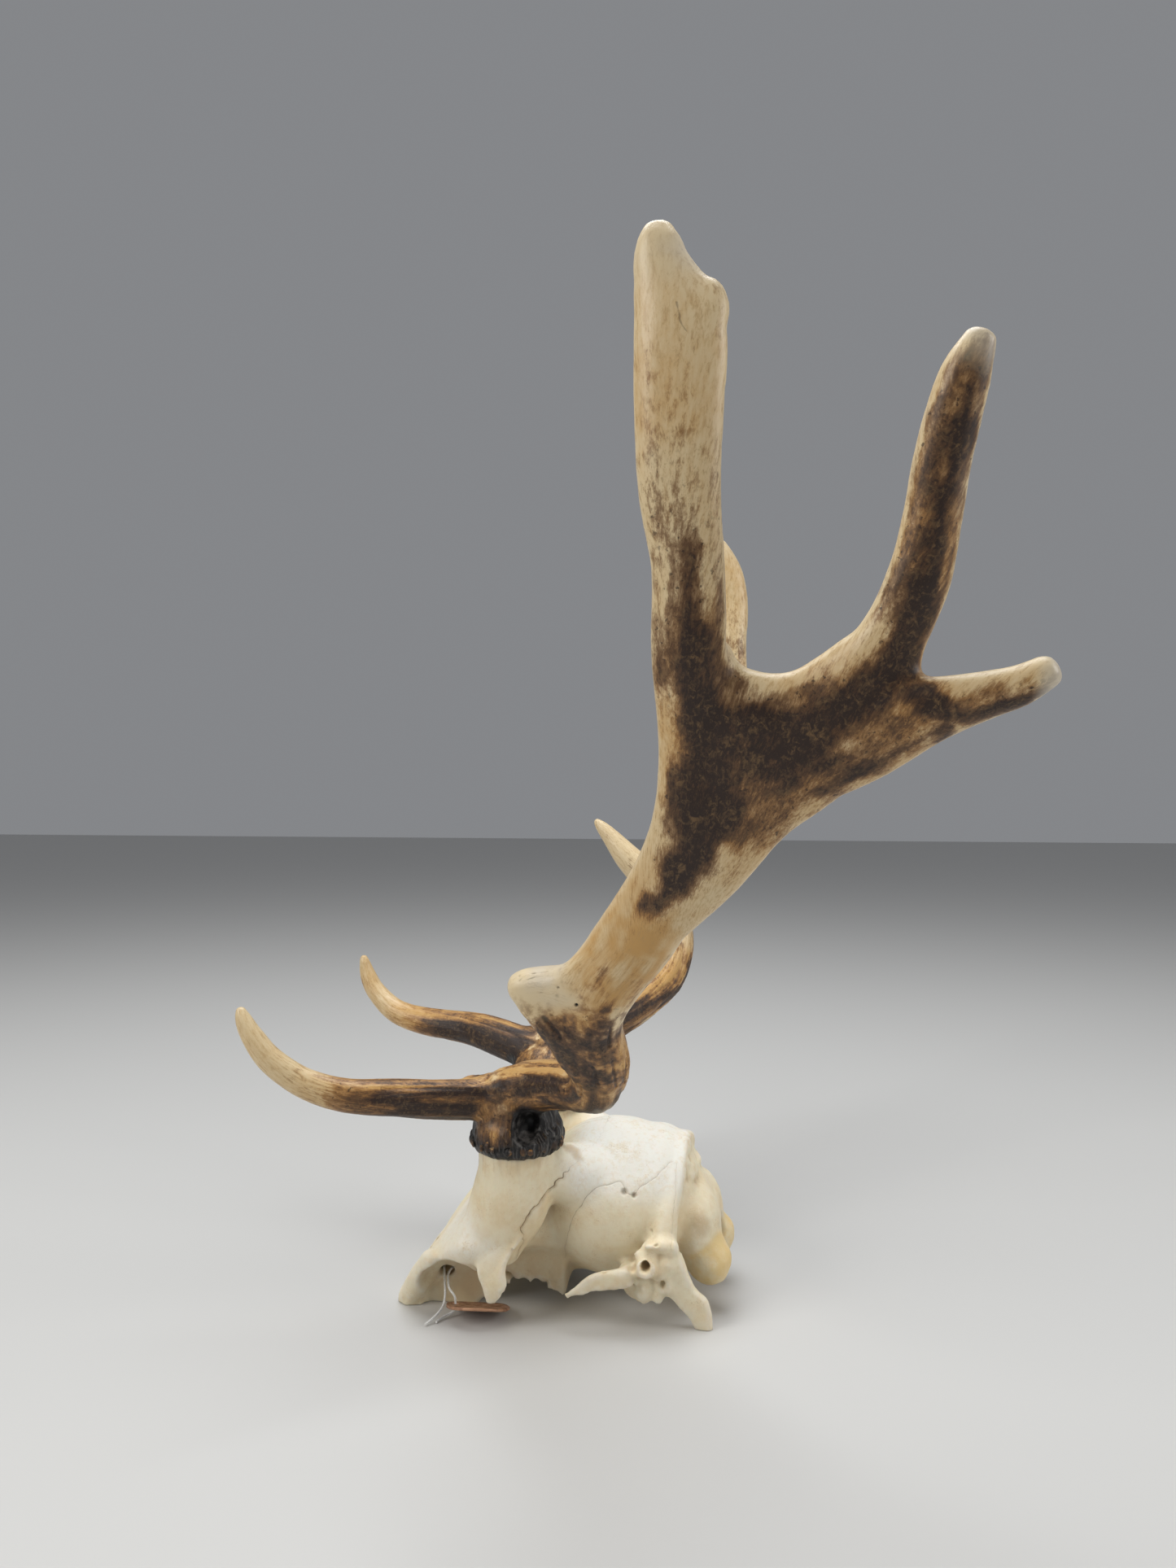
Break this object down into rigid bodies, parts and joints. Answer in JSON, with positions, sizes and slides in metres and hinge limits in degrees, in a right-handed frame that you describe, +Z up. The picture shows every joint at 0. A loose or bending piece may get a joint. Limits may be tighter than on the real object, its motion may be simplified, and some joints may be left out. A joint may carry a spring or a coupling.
{
  "type": "deer antlers on a skull cap",
  "caption": "Small palmate deer antlers grown on their cut skull, which stands on the cut, with a bare round tag on a string through an eye socket.",
  "frame": {"origin": "middle of the overall box in X and Y, at the height of the surface it stands on", "axes": "+X towards the animal's left, -Y the way it faced, +Z up"},
  "size_m": [0.3844, 0.2888, 0.3716],
  "materials": {
    "bone": "dry ivory bone, whiter on top, tan at the sutures and pedicles",
    "antler": "cream and golden antler, brown to black at the burr and in the palm, ridged below, rubbed to a dull shine towards the tips",
    "tag": "bare coppery brown disc, dull, rubbed at its rim",
    "string": "white twisted cotton"
  },
  "bodies": {
    "root": {"skull": "bone", "left_beam": "antler", "left_brow_tine": "antler", "left_front_tine": "antler", "left_upper_rear_tine": "antler", "left_lower_rear_tine": "antler", "right_beam": "antler", "right_brow_tine": "antler", "right_second_tine": "antler", "right_front_tine": "antler", "right_upper_rear_tine": "antler", "right_lower_rear_tine": "antler", "hang_tag": "tag", "tag_string": "string"}
  },
  "joints": []
}
